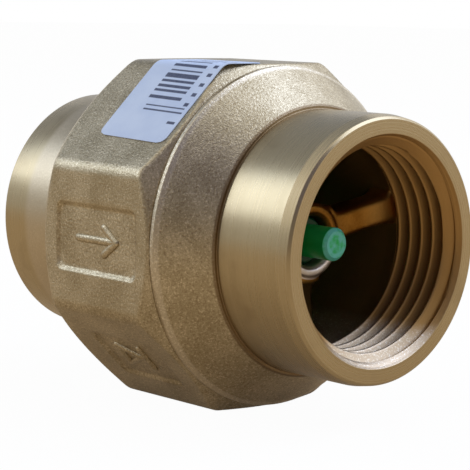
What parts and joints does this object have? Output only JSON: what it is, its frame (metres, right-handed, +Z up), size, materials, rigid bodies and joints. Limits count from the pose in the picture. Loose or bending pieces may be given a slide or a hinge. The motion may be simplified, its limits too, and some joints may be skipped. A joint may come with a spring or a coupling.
{
  "type": "non-return valve",
  "caption": "Brass spring-loaded non-return valve with an octagonal body, a screwed-in end connector and a sliding green poppet guided by a spider.",
  "frame": {"origin": "on the flow axis, midway between the inlet and outlet mouths", "axes": "+X along the flow towards the outlet, +Z up, with one flat of the octagon facing down"},
  "size_m": [0.0536, 0.042, 0.0421],
  "materials": {
    "forged_brass": "sandblasted forging",
    "turned_brass": "turned and forged",
    "green_plastic": "satin moulded",
    "black_rubber": "matt",
    "spring_steel": "drawn wire",
    "label_paper": "matt paper"
  },
  "bodies": {
    "housing": {"body": "forged_brass", "end_connector": "turned_brass", "joint_seal": "black_rubber", "spring": "spring_steel", "label": "label_paper"},
    "obturator": {"poppet": "green_plastic", "seat_seal": "black_rubber", "seal_retainer": "green_plastic"}
  },
  "joints": [
    {"name": "poppet_lift", "type": "slide", "parent": "housing", "child": "obturator", "axis": [1, 0, 0], "range_m": [0, 0.006], "stiffness_N_per_m": 350, "springref_m": -0.0026, "deforming": ["spring"]}
  ]
}
